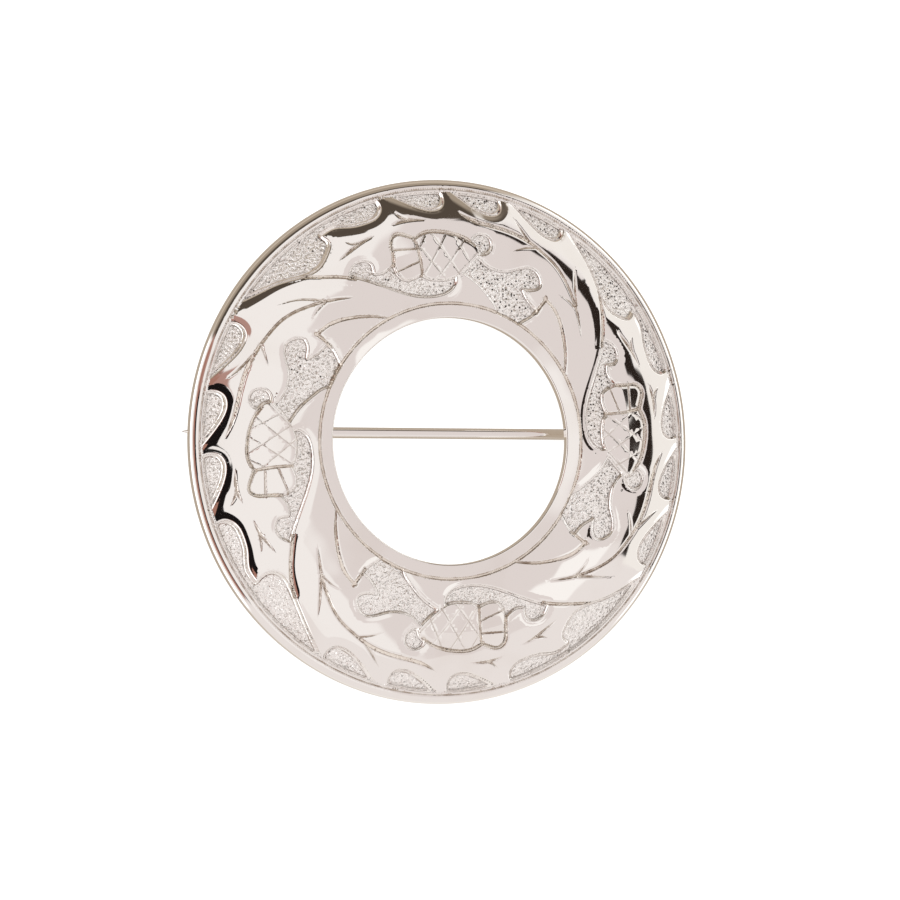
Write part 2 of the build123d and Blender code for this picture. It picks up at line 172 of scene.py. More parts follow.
def smooth_run(points, step):
    """Points a step apart on the smooth curve through the given rows, whose columns may be any."""
    points = np.asarray(points, float)
    gaps = np.hypot(*np.diff(points[:, :2], axis=0).T)
    run = np.concatenate([[0], np.cumsum(gaps)])
    wanted = np.linspace(0, run[-1], max(2, int(run[-1] / step) + 1))
    last = len(points) - 1
    spline = np.eye(last + 1)
    pull = np.zeros_like(points)
    for i in range(1, last):
        spline[i, i - 1:i + 2] = gaps[i - 1], 2 * (gaps[i - 1] + gaps[i]), gaps[i]
        pull[i] = 6 * ((points[i + 1] - points[i]) / gaps[i] - (points[i] - points[i - 1]) / gaps[i - 1])
    bend = np.linalg.solve(spline, pull)
    k = np.clip(np.searchsorted(run, wanted) - 1, 0, last - 1)
    gap = gaps[k][:, None]
    back, ahead = (wanted - run[k])[:, None], (run[k + 1] - wanted)[:, None]
    return (bend[k] * ahead ** 3 + bend[k + 1] * back ** 3) / (6 * gap) \
        + (points[k] / gap - bend[k] * gap / 6) * ahead + (points[k + 1] / gap - bend[k + 1] * gap / 6) * back


SAMPLE = 0.06       # spacing of the points that outlines and lines are sampled at


def outline(rows, quarter):
    """A closed outline through the rows, counterclockwise: smooth runs between corners."""
    first = next(i for i, row in enumerate(rows) if row[2])
    turned = rows[first:] + rows[:first] + [rows[first]]
    pieces, run = [], [spot(*turned[0][:2], quarter)]
    for turn, reach, corner in turned[1:]:
        run.append(spot(turn, reach, quarter))
        if corner:
            pieces.append(smooth_run(run, SAMPLE)[:-1])
            run = run[-1:]
    run = np.concatenate(pieces)
    ahead = np.roll(run, -1, 0)
    return run if (run[:, 0] * ahead[:, 1] - ahead[:, 0] * run[:, 1]).sum() > 0 else run[::-1]


def rim_outline(rows, quarter):
    """As outline, closed outside the rim, for a ground that runs up to the rim."""
    start, end = rows[0][0], rows[-1][0]
    closing = [(turn, BEYOND_RIM, 1) for turn in (end, (start + end) / 2, start)]
    return outline(rows + closing, quarter)


def circle(radius, step, centre=(0, 0)):
    angle = np.linspace(0, 2 * math.pi, int(2 * math.pi * radius / step), endpoint=False)
    return np.stack([centre[0] + radius * np.cos(angle), centre[1] + radius * np.sin(angle)], 1)


def inside(points, polygon):
    """Which points lie inside a closed outline."""
    found = np.zeros(len(points), bool)
    near = np.flatnonzero(((points > polygon.min(0)) & (points < polygon.max(0))).all(1))
    x, y = points[near].T
    odd = np.zeros(len(near), bool)
    for (x0, y0), (x1, y1) in zip(polygon, np.roll(polygon, -1, 0)):
        if y0 != y1:
            odd ^= ((y0 > y) != (y1 > y)) & (x < (x1 - x0) * (y - y0) / (y1 - y0) + x0)
    found[near] = odd
    return found


class Trace:
    """Samples along outlines or lines, and how far points lie from them."""

    def __init__(self, runs, closed, values=None):
        places, ways = [], []
        for run in runs:
            way = np.roll(run, -1, 0) - np.roll(run, 1, 0)
            if not closed:
                way[0], way[-1] = run[1] - run[0], run[-1] - run[-2]
            places.append(run)
            ways.append(way / np.hypot(*way.T)[:, None])
        self.places, self.ways = np.concatenate(places), np.concatenate(ways)
        self.values = np.concatenate(values) if values else np.zeros(len(self.places))
        self.plant()

    def plant(self):
        self.tree = KDTree(len(self.places))
        for i, (x, y) in enumerate(self.places):
            self.tree.insert((x, y, 0), i)
        self.tree.balance()

    def keep(self, mask):
        """Forgets the samples outside the mask."""
        self.places, self.ways, self.values = self.places[mask], self.ways[mask], self.values[mask]
        self.plant()

    def distance(self, points):
        """Distance from each point, and the value there."""
        nearest = np.array([self.tree.find((x, y, 0))[1] for x, y in points])
        gap = points - self.places[nearest]
        way = self.ways[nearest]
        along = np.abs((gap * way).sum(1))
        across = np.abs(gap[:, 0] * way[:, 1] - gap[:, 1] * way[:, 0])
        return np.where(along < SAMPLE, across, np.hypot(*gap.T)), self.values[nearest]

    def row(self, offset, step, share=0.0):
        """Points beside the samples, an offset and a share of the value to their left, a step apart."""
        every = max(1, round(step / SAMPLE))
        side = np.stack([-self.ways[::every, 1], self.ways[::every, 0]], 1)
        return self.places[::every] + side * (offset + share * self.values[::every, None])


# The drawing laid out on all four quarters.
inner_grounds, rim_grounds, thistles, heads = [], [], [], []
line_runs, line_halves, stem_runs, fine_runs = [], [], [], []
for quarter in range(QUARTERS):
    head, tuft = outline(THISTLE_HEAD, quarter), outline(THISTLE_TUFT, quarter)
    heads.append(head)
    thistles += [head, tuft]
    inner_grounds.append(outline(GROUND_BEHIND_THISTLE, quarter))
    inner_grounds.append(outline(FORKED_GROUND, quarter))
    turn, reach, share = ROUND_GROUND
    inner_grounds.append(circle(share * BAND, SAMPLE, spot(turn, reach, quarter)))
    rim_grounds.append(rim_outline(LONG_RIM_GROUND, quarter))
    for turn, stretch in SCALLOP_PLACES:
        rim_grounds.append(rim_outline([(turn + stretch * r[0], r[1], r[2]) for r in SCALLOP], quarter))
    for rows in LEAF_LINES + THISTLE_LINES:
        run = smooth_run([(*spot(turn, reach, quarter), share) for turn, reach, share in rows], SAMPLE)
        line_runs.append(run[:, :2])
        line_halves.append(np.clip(run[:, 2], 0, 2) * LINE_WIDTH / 2)
        if rows is STEM_LINE:
            stem_runs.append(run[:, :2])
    for first_turn, number, slant in LATTICE:
        for i in range(number):
            turn = first_turn + i * LATTICE_STEP
            heading = math.radians(FIRST_THISTLE - quarter * 360 / QUARTERS - turn - 90 + slant)
            way = np.array([math.cos(heading), math.sin(heading)])
            reach = np.linspace(-LATTICE_RUN, LATTICE_RUN, int(2 * LATTICE_RUN / SAMPLE))
            run = spot(turn, LATTICE_REACH, quarter) + reach[:, None] * way
            run = run[inside(run, head)]
            if len(run) > LATTICE_LEAST:
                fine_runs.append(run)


def within(points, outlines):
    found = np.zeros(len(points), bool)
    for polygon in outlines:
        found |= inside(points, polygon)
    return found


def radius_of(points):
    return np.hypot(*points.T)


HOLE_SIDE_FROM, HOLE_SIDE_SPAN = 0.2, 0.5       # cosines of the angle between a land's side and the hole's


def hole_side(run):
    """How squarely each stretch of an outline has its land toward the hole, from 0 to 1."""
    way = np.roll(run, -1, 0) - np.roll(run, 1, 0)
    out = np.stack([way[:, 1], -way[:, 0]], 1) / np.hypot(*way.T)[:, None]
    inward = -(out * run).sum(1) / radius_of(run)
    return np.clip((inward - HOLE_SIDE_FROM) / HOLE_SIDE_SPAN, 0, 1)


COLLAR_EDGE = COLLAR_LINE - LINE_WIDTH / 2
HOLE_ROLLS = (0.4, 0.4, 1.0, 0.2)       # each quarter's share of the roll on the hole's side of its grounds
HOOK_TURN = 25.0                        # the forked ground has all of it round its hooks, past this turn,
FORK_ROLL, ROUND_ROLL = 0.4, 0.6        # and less before it, as the round ground has
UNDER_BEAD = 0.3                        # how far past the bead's edge the rim grounds' outlines still count
sides = [hole_side(run) for run in inner_grounds]
for quarter, share in enumerate(HOLE_ROLLS):
    behind, fork, tip = range(3 * quarter, 3 * quarter + 3)
    x, y = inner_grounds[fork].T
    turns = (FIRST_THISTLE - quarter * 360 / QUARTERS - np.degrees(np.arctan2(y, x))) % 360
    sides[fork] *= np.where(turns > HOOK_TURN, 1.0, FORK_ROLL)
    sides[tip] *= ROUND_ROLL
    for i in (behind, fork, tip):
        sides[i] *= share
inner_edge = Trace(inner_grounds, True, sides)
inner_edge.keep(~within(inner_edge.places, thistles) & (radius_of(inner_edge.places) > COLLAR_EDGE))
rim_edge = Trace(rim_grounds, True)
rim_edge.keep(radius_of(rim_edge.places) < RIM_EDGE + UNDER_BEAD)
thistle_edge = Trace(thistles, True)
lines = Trace(line_runs, False, line_halves)
stems = Trace(stem_runs[1:3], False, [radius_of(run) for run in stem_runs[1:3]])
steep_stem = Trace(stem_runs[:1], False, [radius_of(stem_runs[0])])
fine_lines = Trace(fine_runs, False, [np.full(len(run), FINE_LINE_WIDTH / 2) for run in fine_runs])

ROLL_WIDTH, ROLL_SLOPE = 0.7, 0.2               # how the buff has rounded the lands beside the grounds
HOLE_ROLL_WIDTH = 1.7                           # on the hole's side of a ground its land falls further,
STEM_ROLL_WIDTH = 2.0                           # and so does the land beside the thistle's stem,
EDGE_SLOPE = math.tan(math.radians(17.8))       # to this slope
STEM_INNER, STEM_FADE = 27.2, 2.5               # at the top it fades toward this distance from the axis
STEEP_ROLL_WIDTH = 0.9                          # the first quarter's stem is buffed less widely but
STEEP_SLOPE = math.tan(math.radians(30.5))      # to a steeper slope
BUFFED_STEMS = [(stems, STEM_ROLL_WIDTH, EDGE_SLOPE, STEM_INNER),
                (steep_stem, STEEP_ROLL_WIDTH, STEEP_SLOPE, 0)]
LEAST_FALL = 0.05                               # slope beyond the dome's that a roll has at least
EVEN_SHARE = 0.3                                # share of a roll's width that has its full slope
RIM_ROLL_WIDTH, RIM_ROLL_DEPTH = 1.2, 0.1       # beside the rim's grounds
HEAD_ROLL_WIDTH, HEAD_ROLL_DEPTH = 0.8, 0.04    # and the thistles toward their outlines,
HEAD_FLAT, HEAD_FLAT_MOST = 27.2, 0.25          # buffed flat beyond this distance from the axis, and how deep
LINE_ROLL_WIDTH, LINE_ROLL_DEPTH = 0.3, 0.03
HAIRLINE = 0.05                                 # half the width below which a line's end has no roll
BROKEN_WIDTH, BROKEN_DEPTH = 0.2, 0.08          # the edges of the lands are broken
WAVE = 0.025                                    # half the height of the waves that hand buffing leaves
WAVES = [(5.3, 20, 0.3), (6.7, 75, 1.9), (4.6, 130, 4.0), (8.1, 165, 2.6)]      # length, heading, phase


def channel(distance, half):
    """Share of full depth across an engraved line: flat in the middle, with sloping sides."""
    return np.clip((half - distance) / LINE_SIDE, 0, 1) * np.clip(half / (LINE_WIDTH / 2), 0, 1)


def uneven(points):
    """How far the buffed lands lie under a true dome: soft waves a few millimetres long."""
    waves = np.zeros(len(points))
    for length, heading, phase in WAVES:
        way = (math.cos(math.radians(heading)), math.sin(math.radians(heading)))
        waves += np.sin(2 * math.pi * (points @ way) / length + phase) * length
    return WAVE * (1 + waves / sum(length for length, *_ in WAVES))


def rolled_off(distance, width, depth):
    return depth * np.clip(1 - distance / width, 0, 1) ** 2


def shoulder(distance, width, slope):
    """As rolled off, with an even slope over the nearest part of the width."""
    even = EVEN_SHARE * width
    bend = np.clip((width - distance) / (width - even), 0, 1)
    return slope * (np.clip(even - distance, 0, None) + bend ** 2 * (width - even) / 2)


def fall_to(slope, radius):
    """How much steeper than the dome the land has to fall to reach a slope."""
    out = radius - CROWN_RADIUS
    return np.maximum(slope - out / np.sqrt(DOME_SWEEP ** 2 - out ** 2), LEAST_FALL)


BEAD_STEPS = 399
bead_shares = np.linspace(0, 1, BEAD_STEPS + 1)
bead_falls = np.tan(np.radians(np.interp(bead_shares, *zip(*BEAD_SLOPES))))
bead_levels = -np.cumsum(bead_falls * (RING_RADIUS - RIM_EDGE) / BEAD_STEPS)
bead_levels += BEAD_TOP - bead_levels.max()


def bead(radius):
    """Height of the bead along the rim."""
    return np.interp((radius - RIM_EDGE) / (RING_RADIUS - RIM_EDGE), bead_shares, bead_levels)


STRIP_EDGE = RIM_EDGE - RIM_STRIP


def relief(points):
    """Height of the ring's face at points, and shares of ground and line there."""
    radius = radius_of(points)
    in_rim = within(points, rim_grounds) & (radius < STRIP_EDGE)
    on_thistle = within(points, thistles)
    in_ground = within(points, inner_grounds) & ~on_thistle & (radius > COLLAR_EDGE)
    to_inner, side = inner_edge.distance(points)
    to_rim, _ = rim_edge.distance(points)
    to_thistle, _ = thistle_edge.distance(points)
    to_line, half = lines.distance(points)
    to_fine, fine_half = fine_lines.distance(points)

    # What the buff has taken off the lands.
    roll_width = ROLL_WIDTH + (HOLE_ROLL_WIDTH - ROLL_WIDTH) * side
    roll_slope = ROLL_SLOPE + (fall_to(EDGE_SLOPE, radius) - ROLL_SLOPE) * side
    land = shoulder(np.maximum(to_inner - BROKEN_WIDTH, 0), roll_width, roll_slope)
    for stem, width, slope, fade_from in BUFFED_STEMS:
        to_stem, stem_radius = stem.distance(points)
        beside = np.clip(to_stem / (LINE_WIDTH / 2), 0, 1) * (radius < stem_radius)
        beside *= np.where(points[:, 0] > 0, 1, np.clip((stem_radius - fade_from) / STEM_FADE, 0, 1))
        roll = shoulder(np.maximum(to_stem - LINE_WIDTH / 2, 0), width, fall_to(slope, radius))
        land = np.maximum(land, roll * beside)
    land = np.maximum(land, rolled_off(np.maximum(to_rim - BROKEN_WIDTH, 0), RIM_ROLL_WIDTH, RIM_ROLL_DEPTH))
    flat = dome(radius) - dome(HEAD_FLAT) + EDGE_SLOPE * (radius - HEAD_FLAT)
    flat = np.clip(flat, 0, HEAD_FLAT_MOST) * (radius > HEAD_FLAT)
    land = np.where(on_thistle, flat + rolled_off(to_thistle, HEAD_ROLL_WIDTH, HEAD_ROLL_DEPTH), land)
    line_roll = rolled_off(np.maximum(to_line - half, 0), LINE_ROLL_WIDTH, LINE_ROLL_DEPTH)
    land += line_roll * (half > HAIRLINE) * ~on_thistle
    near_edge = np.where(on_thistle, to_thistle, np.minimum(to_inner, to_rim))
    land += rolled_off(near_edge, BROKEN_WIDTH, BROKEN_DEPTH)
    land *= ~(in_rim | in_ground) * np.clip((radius - COLLAR_EDGE) / LINE_WIDTH, 0, 1)

    # The engraved lines, and the ledge inside the bead.
    cut = LINE_DEPTH * channel(to_line, half)
    fine = FINE_LINE_SHARE * LINE_DEPTH * channel(to_fine, fine_half) * on_thistle
    depth = land + np.maximum(cut, fine)
    collar = LINE_DEPTH * channel(np.abs(radius - COLLAR_LINE), LINE_WIDTH / 2)
    depth = np.maximum(depth, collar)
    depth = np.maximum(depth, RIM_STRIP_SUNK * np.clip((radius - STRIP_EDGE) / RIM_STRIP_STEP + 1, 0, 1))

    # The sunk grounds, whose walls are steep at the top and run out into the floor.
    from_edge = np.minimum(to_inner, to_thistle)
    from_edge = np.minimum(from_edge, radius - COLLAR_EDGE)
    wall_in = np.clip(from_edge / GROUND_WALL, 0, 1)
    edge_of_land = shoulder(0 * side, roll_width, roll_slope)
    start = np.where(to_inner < to_thistle, edge_of_land, flat + HEAD_ROLL_DEPTH) + BROKEN_DEPTH
    sunk = start + (GROUND_DEPTH - start) * wall_in * (2 - wall_in)
    depth = np.where(in_ground, np.maximum(depth, sunk), depth)
    from_strip = (STRIP_EDGE - radius) / RIM_COVE
    wall_rim = np.minimum(np.clip(to_rim / RIM_GROUND_WALL, 0, 1), np.clip(from_strip, 0, 1))
    start = np.where(to_rim / RIM_GROUND_WALL < from_strip, RIM_ROLL_DEPTH + BROKEN_DEPTH, RIM_STRIP_SUNK)
    sunk = start + (RIM_GROUND_DEPTH - start) * wall_rim * (2 - wall_rim)
    depth = np.where(in_rim, np.maximum(depth, sunk), depth)

    height = dome(radius, depth) - uneven(points) * ~(in_rim | in_ground)
    strip = dome(STRIP_EDGE, RIM_STRIP_SUNK) - RIM_STRIP_SLOPE * (radius - STRIP_EDGE)
    groove = np.clip(1 - np.abs(2 * (RIM_EDGE - radius) / RIM_GROOVE_WIDTH - 1), 0, 1)
    height = np.where(radius >= STRIP_EDGE, strip - RIM_GROOVE_DEPTH * groove, height)
    height = np.where(radius >= RIM_EDGE, bead(radius), height)
    ground = np.where(in_ground, wall_in, 0) + np.where(in_rim, wall_rim, 0)
    line = np.clip(np.maximum(cut, np.maximum(FINE_LINE_SHARE * fine, collar)) / LINE_DEPTH, 0, 1)
    line = np.maximum(line, groove * (radius >= STRIP_EDGE))
    return height, ground, line


def honeycomb(spacing, low, high):
    """Points of an even grid of triangles between two distances from the ring's axis."""
    rise = spacing * math.sqrt(3) / 2
    count = int(high / rise) + 1
    rows = []
    for i in range(-count, count + 1):
        x = np.arange(-high, high, spacing) + (spacing / 2 if i % 2 else 0)
        rows.append(np.stack([x, np.full(len(x), i * rise)], 1))
    points = np.concatenate(rows)
    radius = radius_of(points)
    return points[(radius > low) & (radius < high)]


SEAM_STEPS = 480        # points round the ring where its face meets the hole's edge and the bead
FACE_IN = HOLE_RADIUS + EDGE_BREAK
FACE_OUT = RING_RADIUS - 0.5
PUNCH_SPACING = 0.17
PUNCH_STRAY = 0.3       # how far the floors' points stray, as a share of their spacing
LAND_SPACING = 0.6
ROLL_STEP, EDGE_STEP, LINE_STEP, RIM_STEP = 0.36, 0.24, 0.3, 0.35       # between the points of a row


def seam(radius):
    angle = np.arange(SEAM_STEPS) * 2 * math.pi / SEAM_STEPS
    return np.stack([radius * np.cos(angle), radius * np.sin(angle)], 1)


random = np.random.default_rng(7)
floor_points = honeycomb(PUNCH_SPACING, COLLAR_EDGE, RIM_EDGE)
floor_points += random.uniform(-PUNCH_STRAY, PUNCH_STRAY, floor_points.shape) * PUNCH_SPACING
_, ground, _ = relief(floor_points)
floor_points = floor_points[ground > 0.999]
land_points = honeycomb(LAND_SPACING, FACE_IN + LAND_SPACING / 2, RIM_EDGE - RIM_COVE)

# Rows of points where the lands bend, and then beside and in the walls and lines.
rolled = [edge.row(-offset, ROLL_STEP) for edge in (inner_edge, rim_edge)
          for offset in (0.45, 0.71, 1.2, 1.9)]
rolled += [thistle_edge.row(offset, ROLL_STEP) for offset in (0.4, 0.8)]
rolled += [stems.row(way * offset, ROLL_STEP) for offset in (0.5, 0.84, 1.3, 2.2) for way in (1, -1)]
rolled += [steep_stem.row(way * offset, LINE_STEP) for offset in (0.3, 0.51, 0.8, 1.14) for way in (1, -1)]
flat_edge = np.concatenate([circle(HEAD_FLAT + out, LINE_STEP) for out in (-0.05, 0.05)])
rolled.append(flat_edge[within(flat_edge, thistles)])
land_points = np.concatenate(rolled + [land_points])
_, ground, _ = relief(land_points)
land_points = land_points[ground <= 0]
rows = [seam(FACE_IN), seam(FACE_OUT)]
for edge, wall in ((inner_edge, GROUND_WALL), (thistle_edge, GROUND_WALL), (rim_edge, RIM_GROUND_WALL)):
    way = -1 if edge is thistle_edge else 1
    for offset in (0.03, 0.45 * wall, wall, -0.03, -0.1, -BROKEN_WIDTH):
        rows.append(edge.row(way * offset, EDGE_STEP))
for offset, share in ((0, 0.6), (0, -0.6), (0, 1), (0, -1), (0.06, 1), (-0.06, -1), (0.3, 1), (-0.3, -1)):
    rows.append(lines.row(offset, LINE_STEP, share))
for share in (0.3, -0.3, 1, -1):
    rows.append(fine_lines.row(0, LINE_STEP, share))
for half in (0, 0.6, -0.6, 1, -1, 1.25, -1.25):
    rows.append(circle(COLLAR_LINE + half * LINE_WIDTH / 2, LINE_STEP))
for out in (-RIM_COVE, -0.55 * RIM_COVE, -RIM_STRIP_STEP, 0):
    rows.append(circle(STRIP_EDGE + out, RIM_STEP))
for out in (-RIM_GROOVE_WIDTH, -RIM_GROOVE_WIDTH / 2, -0.02, 0.02, 0.13, 0.35, 0.53):
    rows.append(circle(STRIP_EDGE + (RIM_STRIP + out), RIM_STEP))
face_points = np.concatenate(rows + [land_points, floor_points])

SEAM_GAP = 0.05         # the face's points stay this far from its seams,
POINT_GAP = 0.02        # and two in one square of this size are made one
radius = radius_of(face_points)
keep = (radius > FACE_IN + SEAM_GAP) & (radius < FACE_OUT - SEAM_GAP)
keep[:2 * SEAM_STEPS] = True
face_points = face_points[keep]
_, first = np.unique(np.round(face_points / POINT_GAP).astype(int), axis=0, return_index=True)
face_points = face_points[np.sort(np.union1d(first, np.arange(2 * SEAM_STEPS)))]

loops = [(i, (i + 1) % SEAM_STEPS) for i in range(SEAM_STEPS)]
loops += [(SEAM_STEPS + i, SEAM_STEPS + (i + 1) % SEAM_STEPS) for i in range(SEAM_STEPS)]
sheet = delaunay_2d_cdt([Vector(p) for p in face_points], loops, [], 0, 1e-6)
face_points = np.array([tuple(p) for p in sheet[0]])
triangles = np.array(sheet[2])
middle = face_points[triangles].mean(1)
triangles = triangles[(radius_of(middle) > FACE_IN - 0.01) & (radius_of(middle) < FACE_OUT)]
height, ground, line = relief(face_points)

NUDGE = 0.012           # how far apart the heights are taken that a normal comes from
slope = [relief(face_points + way)[0] - relief(face_points - way)[0]
         for way in (np.array([NUDGE, 0]), np.array([0, NUDGE]))]
face_normals = np.stack([-slope[0], -slope[1], np.full(len(height), 2 * NUDGE)], 1)
face_normals /= np.linalg.norm(face_normals, axis=1)[:, None]

# The turned profile, from the bead over the rim and the hollow back to the hole's edge.
TINY = 0.04         # how wide the softened corners of the profile are
back_foot = CROWN_RADIUS + math.sqrt((DOME_SWEEP - WALL) ** 2 - (RIM_BOTTOM - SWEEP_CENTRE) ** 2)
profile = [(FACE_OUT, float(bead(FACE_OUT)))]
profile += [(r, float(bead(r))) for r in RING_RADIUS - np.array([0.36, 0.24, 0.14, 0.09, 0.05, 0.02, 0.0])]
profile += [(RING_RADIUS, RIM_BOTTOM + EDGE_BREAK), (RING_RADIUS - EDGE_BREAK, RIM_BOTTOM),
            (back_foot, RIM_BOTTOM)]
profile += [(r, float(dome(r, WALL))) for r in np.linspace(back_foot, FACE_IN, 15)[1:]]
profile += [(HOLE_RADIUS, float(dome(FACE_IN, WALL)) + EDGE_BREAK),
            (HOLE_RADIUS, float(dome(FACE_IN)) - EDGE_BREAK), (FACE_IN, float(dome(FACE_IN)))]
profile = np.array(profile)


def soften(points, sharp=math.radians(20)):
    """The same run with each sharp corner turned into two close points."""
    softened = [points[0]]
    for before, point, after in zip(points, points[1:], points[2:]):
        back, ahead = before - point, after - point
        back, ahead = back / np.hypot(*back), ahead / np.hypot(*ahead)
        if math.acos(np.clip(-back @ ahead, -1, 1)) > sharp:
            softened += [point + back * TINY, point + ahead * TINY]
        else:
            softened.append(point)
    return np.array(softened + [points[-1]])


profile = soften(profile)
steps = np.diff(profile, axis=0)
across = np.stack([-steps[:, 1], steps[:, 0]], 1)       # each step's outward normal times its length
profile_normals = np.zeros_like(profile)
profile_normals[:-1] += across
profile_normals[1:] += across
profile_normals /= np.hypot(*profile_normals.T)[:, None]

face_count = len(face_points)
angle = np.arange(SEAM_STEPS) * 2 * math.pi / SEAM_STEPS
turned_points, turned_normals = [], []
for place, normal in zip(profile[1:-1], profile_normals[1:-1]):
    for rings, (out, up) in ((turned_points, place), (turned_normals, normal)):
        rings.append(np.stack([out * np.cos(angle), out * np.sin(angle), np.full(SEAM_STEPS, up)], 1))
all_points = np.concatenate([np.column_stack([face_points, height])] + turned_points)
all_normals = np.concatenate([face_normals] + turned_normals)
loops = [np.arange(SEAM_STEPS, 2 * SEAM_STEPS)]
loops += [face_count + i * SEAM_STEPS + np.arange(SEAM_STEPS) for i in range(len(turned_points))]
loops += [np.arange(SEAM_STEPS)]


def bands(loops):
    """The four-sided faces between each loop of point numbers and the next."""
    return [np.stack([a, b, np.roll(b, -1), np.roll(a, -1)], 1) for a, b in zip(loops, loops[1:])]


quads = np.concatenate(bands(loops))

ring_mesh = bpy.data.meshes.new("ring_silver")
ring_mesh.from_pydata((all_points * MM).tolist(), [], triangles.tolist() + quads.tolist())
pad = np.zeros(len(all_points) - face_count)
for name, values in (("ground", ground), ("line", line)):
    layer = ring_mesh.attributes.new(name, "FLOAT", "POINT")
    layer.data.foreach_set("value", np.concatenate([values, pad]).astype(np.float32))


def put(name, data):
    """A new object, linked to the scene."""
    thing = bpy.data.objects.new(name, data)
    bpy.context.scene.collection.objects.link(thing)
    return thing


ring = put("ring_silver", ring_mesh)


def linear(hex_colour):
    """An sRGB hex colour as linear red, green, blue and alpha."""
    parts = [int(hex_colour[i:i + 2], 16) / 255 for i in (1, 3, 5)]
    return (*[c / 12.92 if c <= 0.04045 else ((c + 0.055) / 1.055) ** 2.4 for c in parts], 1.0)


def add(tree, kind, *values, out=0, **named):
    """Adds a node, and gives its first output, the one asked for, or with None the node itself.

    The values, or links from other nodes' sockets, go to its inputs in order. Of what is named, the
    names in small letters are the node's settings, and the others its inputs.
    """
    node = tree.nodes.new(kind if "Node" in kind else "ShaderNode" + kind)
    inputs = dict(enumerate(values))
    for name, value in named.items():
        if name.islower():
            setattr(node, name, value)
        else:
            inputs[int(name[1:]) if name[0] == "_" else name.replace("_", " ")] = value
    for place, value in inputs.items():
        if isinstance(value, bpy.types.NodeSocket):
            tree.links.new(value, node.inputs[place])
        else:
            node.inputs[place].default_value = value
    return node if out is None else node.outputs[out]


# Polished sterling silver: near white, mirror-bright on the buffed lands, dull and grainy in the
# punched grounds, and brown where tarnish stays in cut lines and pits.
GRAIN = 0.42        # size of a dent's grain


def sterling(name, tarnish_share):
    material = bpy.data.materials.new(name)
    material.use_nodes = True
    tree = material.node_tree
    tree.nodes.clear()
    ground = add(tree, "Attribute", attribute_name="ground", out="Fac")
    line = add(tree, "Attribute", attribute_name="line", out="Fac")
    place = add(tree, "TexCoord", out="Object")
    grain, haze, scuff, patchy, crowd = [
        add(tree, "TexNoise", Vector=place, Scale=1 / (size * MM), Detail=detail, out="Fac")
        for size, detail in ((GRAIN, 1.5), (9, 2.0), (0.6, 4.0), (1.4, 1.0), (3.6, 1.0))]

    # Tarnish stays beside the lines and at the foot of the grounds' walls, here more and there less.
    low = add(tree, "Math", ground, line, operation="MAXIMUM")
    beside = add(tree, "Math", 1.0, line, operation="SUBTRACT")
    beside = add(tree, "Math", beside, line, operation="MULTIPLY")
    rising = add(tree, "MapRange", ground, 0.6, 0.8, 0.0, 0.25)
    foot = add(tree, "MapRange", ground, 0.8, 1.0, 1.0, 0.0)
    foot = add(tree, "Math", foot, rising, operation="MULTIPLY")
    side = add(tree, "Math", beside, foot, operation="MAXIMUM")
    left = add(tree, "MapRange", patchy, 0.4, 0.62, 0.8 * tarnish_share, 2.8 * tarnish_share)
    side = add(tree, "Math", side, left, operation="MULTIPLY")

    # Some of the punch's marks are black, in crowds and more of them toward +X, and all the dark marks grow
    # fainter toward −Y, to a fifth at y = −26 mm: a tone that leaves the grounds darker toward +X and +Y.
    dents = add(tree, "TexVoronoi", Vector=place, Scale=1 / (GRAIN * MM), out=None).outputs
    dot = add(tree, "MapRange", dents["Distance"], 0.24, 0.4, 1.0, 0.0)
    across, along, _ = add(tree, "SeparateXYZ", place, out=None).outputs
    lot = add(tree, "SeparateColor", Color=dents["Color"])
    lot = add(tree, "Math", crowd, 1.9, lot, operation="MULTIPLY_ADD")
    # More black marks toward +X, so the grounds darken toward that side.
    lot = add(tree, "Math", across, 0.42 / (36 * MM), lot, operation="MULTIPLY_ADD")
    lot = add(tree, "MapRange", lot, 1.62, 1.7, 0.0, 0.95)
    inner = add(tree, "MapRange", ground, 0.7, 1.0, 0.0, tarnish_share)
    # The dark marks fade toward −Y, down to a fifth at 26 mm from the axis.
    mark_fade = add(tree, "MapRange", along, -26 * MM, 2 * MM, 0.2, 1.0)
    mark_fade = add(tree, "Math", mark_fade, inner, operation="MULTIPLY")
    speck = add(tree, "Math", dot, lot, operation="MULTIPLY")
    speck = add(tree, "Math", speck, mark_fade, operation="MULTIPLY")
    pit = add(tree, "MapRange", grain, 0.33, 0.41, 0.45, 0.0)
    pit = add(tree, "Math", pit, mark_fade, operation="MULTIPLY")

    stain = add(tree, "MapRange", haze, 0.56, 0.72, 0.0, 0.06)
    floor = add(tree, "Math", line, 0.5, operation="MULTIPLY")
    colour = linear("#FDFBF9")
    for share, tint in ((stain, "#B89A7A"), (floor, "#F4E8D6"), (side, "#86694A"), (pit, "#7D6C5C"),
                        (speck, "#2A211A")):
        colour = add(tree, "Mix", share, _6=colour, _7=linear(tint), data_type="RGBA", out=2)
    rough = add(tree, "MapRange", low, 0.0, 1.0, 0.03, 0.09)
    rough = add(tree, "Math", haze, 0.03, rough, operation="MULTIPLY_ADD")
    metal = add(tree, "Math", inner, -0.1, 1.0, operation="MULTIPLY_ADD")

    # The grain roughens the floors and a little the lines, and fine scuffs lie over all.
    worked_over = add(tree, "Math", low, 0.2, inner, operation="MULTIPLY_ADD")
    height = add(tree, "Math", grain, worked_over, operation="MULTIPLY")
    bump = add(tree, "Bump", Strength=1.0, Distance=GRAIN * MM, Height=height)
    bump = add(tree, "Bump", Strength=0.04, Distance=0.004 * MM, Height=scuff, Normal=bump)
    shader = add(tree, "BsdfPrincipled", Base_Color=colour, Metallic=metal, Roughness=rough,
                 Normal=bump)
    add(tree, "OutputMaterial", shader, out=None)
    return material


cast_silver = sterling("cast sterling silver, chased, punched and buffed", 1.0)


